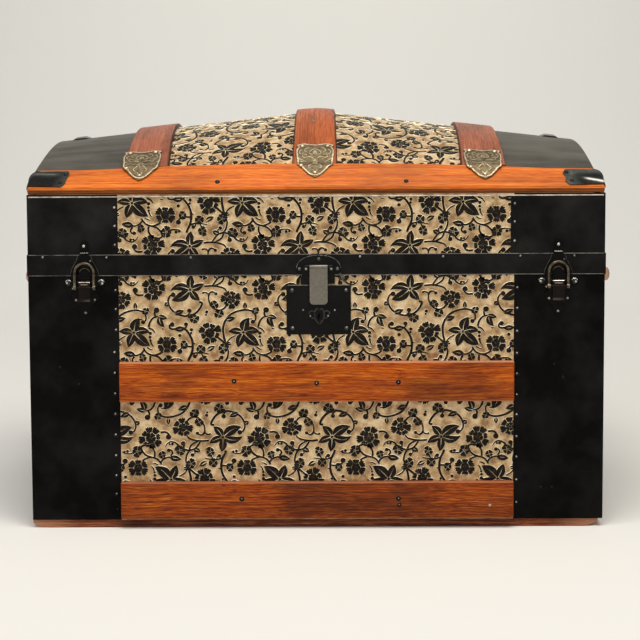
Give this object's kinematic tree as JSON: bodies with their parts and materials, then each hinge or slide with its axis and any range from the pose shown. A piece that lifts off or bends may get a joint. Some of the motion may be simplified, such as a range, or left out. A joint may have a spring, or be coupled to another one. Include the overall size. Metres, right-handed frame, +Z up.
{
  "type": "dome top trunk",
  "caption": "Blanket trunk with a ridged dome lid, embossed and black tin over boards, wooden slats, a hasp lock, draw latches and leather end handles.",
  "frame": {"origin": "under the middle of the bottom board, on the surface that the trunk stands on", "axes": "+Z up, front with the lock towards -Y, +X to the right along the front"},
  "size_m": [0.903, 0.4787, 0.594],
  "materials": {
    "pine_board": "aged bare pine",
    "red_slat_wood": "red brown stain, worn varnish",
    "orange_slat_wood": "orange stain, satin varnish",
    "pink_slat_wood": "worn red brown stain",
    "embossed_tin": "embossed sheet with dark painted relief",
    "black_tin": "satin black japanned sheet iron",
    "old_brass": "tarnished stamped brass",
    "worn_steel": "worn, darkened steel",
    "tan_leather": "smooth, worn"
  },
  "bodies": {
    "box": {"bottom_board": "red_slat_wood", "body_front_board": "pine_board", "body_back_board": "pine_board", "body_left_board": "pine_board", "body_right_board": "pine_board", "body_front_tin": "embossed_tin", "body_left_tin": "black_tin", "body_right_tin": "black_tin", "lower_front_slat": "red_slat_wood", "upper_front_slat": "red_slat_wood", "lower_back_slat": "red_slat_wood", "upper_back_slat": "red_slat_wood", "lock_plate": "black_tin", "left_latch_base": "black_tin", "right_latch_base": "black_tin", "left_handle_front_socket": "black_tin", "left_handle_back_socket": "black_tin", "right_handle_front_socket": "black_tin", "right_handle_back_socket": "black_tin", "left_hinge_lower": "black_tin", "right_hinge_lower": "black_tin"},
    "lid": {"lid_front_board": "pine_board", "lid_back_board": "pine_board", "lid_left_board": "pine_board", "lid_right_board": "pine_board", "dome_boards": "pine_board", "lid_front_tin": "embossed_tin", "lid_left_tin": "black_tin", "lid_right_tin": "black_tin", "dome_tin": "embossed_tin", "dome_left_tin": "black_tin", "dome_right_tin": "black_tin", "lid_band": "black_tin", "front_top_slat": "orange_slat_wood", "back_top_slat": "orange_slat_wood", "left_top_slat": "orange_slat_wood", "right_top_slat": "orange_slat_wood", "left_bent_slat": "pink_slat_wood", "middle_bent_slat": "pink_slat_wood", "right_bent_slat": "pink_slat_wood", "left_shield_clamp": "old_brass", "middle_shield_clamp": "old_brass", "right_shield_clamp": "old_brass", "front_left_corner_clamp": "black_tin", "front_right_corner_clamp": "black_tin", "back_left_corner_clamp": "black_tin", "back_right_corner_clamp": "black_tin", "hasp_plate": "black_tin", "left_latch_keeper": "black_tin", "right_latch_keeper": "black_tin", "left_hinge_upper": "black_tin", "right_hinge_upper": "black_tin"},
    "hasp": {"hasp": "worn_steel"},
    "lock_bolt": {"lock_bolt": "worn_steel"},
    "left_lever": {"left_latch_lever": "black_tin"},
    "right_lever": {"right_latch_lever": "black_tin"},
    "left_loop": {"left_latch_loop": "old_brass"},
    "right_loop": {"right_latch_loop": "old_brass"},
    "left_grip": {"left_handle": "tan_leather"},
    "right_grip": {"right_handle": "tan_leather"}
  },
  "joints": [
    {"name": "lid_hinge", "type": "hinge", "parent": "box", "child": "lid", "pos_m": [0, 0.2342, 0.3625], "axis": [-1, 0, 0], "range_deg": [0, 100]},
    {"name": "hasp_swing", "type": "hinge", "parent": "lid", "child": "hasp", "pos_m": [0.0035, -0.2343, 0.3752], "axis": [-1, 0, 0], "range_deg": [0, 165]},
    {"name": "bolt_slide", "type": "slide", "parent": "box", "child": "lock_bolt", "axis": [-1, 0, 0], "range_m": [0, 0.007]},
    {"name": "left_lever_turn", "type": "hinge", "parent": "box", "child": "left_lever", "pos_m": [-0.3261, -0.2338, 0.354], "axis": [-1, 0, 0], "range_deg": [0, 110]},
    {"name": "left_loop_turn", "type": "hinge", "parent": "left_lever", "child": "left_loop", "pos_m": [-0.3261, -0.2358, 0.3465], "axis": [-1, 0, 0], "range_deg": [-110, 0]},
    {"name": "right_lever_turn", "type": "hinge", "parent": "box", "child": "right_lever", "pos_m": [0.3405, -0.2338, 0.354], "axis": [-1, 0, 0], "range_deg": [0, 110]},
    {"name": "right_loop_turn", "type": "hinge", "parent": "right_lever", "child": "right_loop", "pos_m": [0.3405, -0.2358, 0.3465], "axis": [-1, 0, 0], "range_deg": [-110, 0]},
    {"name": "left_handle_lift", "type": "hinge", "parent": "box", "child": "left_grip", "pos_m": [-0.4145, 0, 0.337], "axis": [0, 1, 0], "range_deg": [0, 60]},
    {"name": "right_handle_lift", "type": "hinge", "parent": "box", "child": "right_grip", "pos_m": [0.4145, 0, 0.337], "axis": [0, -1, 0], "range_deg": [0, 60]}
  ],
  "couplings": [
    {"joint": "left_loop_turn", "follows": "left_lever_turn", "ratio": -1},
    {"joint": "right_loop_turn", "follows": "right_lever_turn", "ratio": -1}
  ]
}
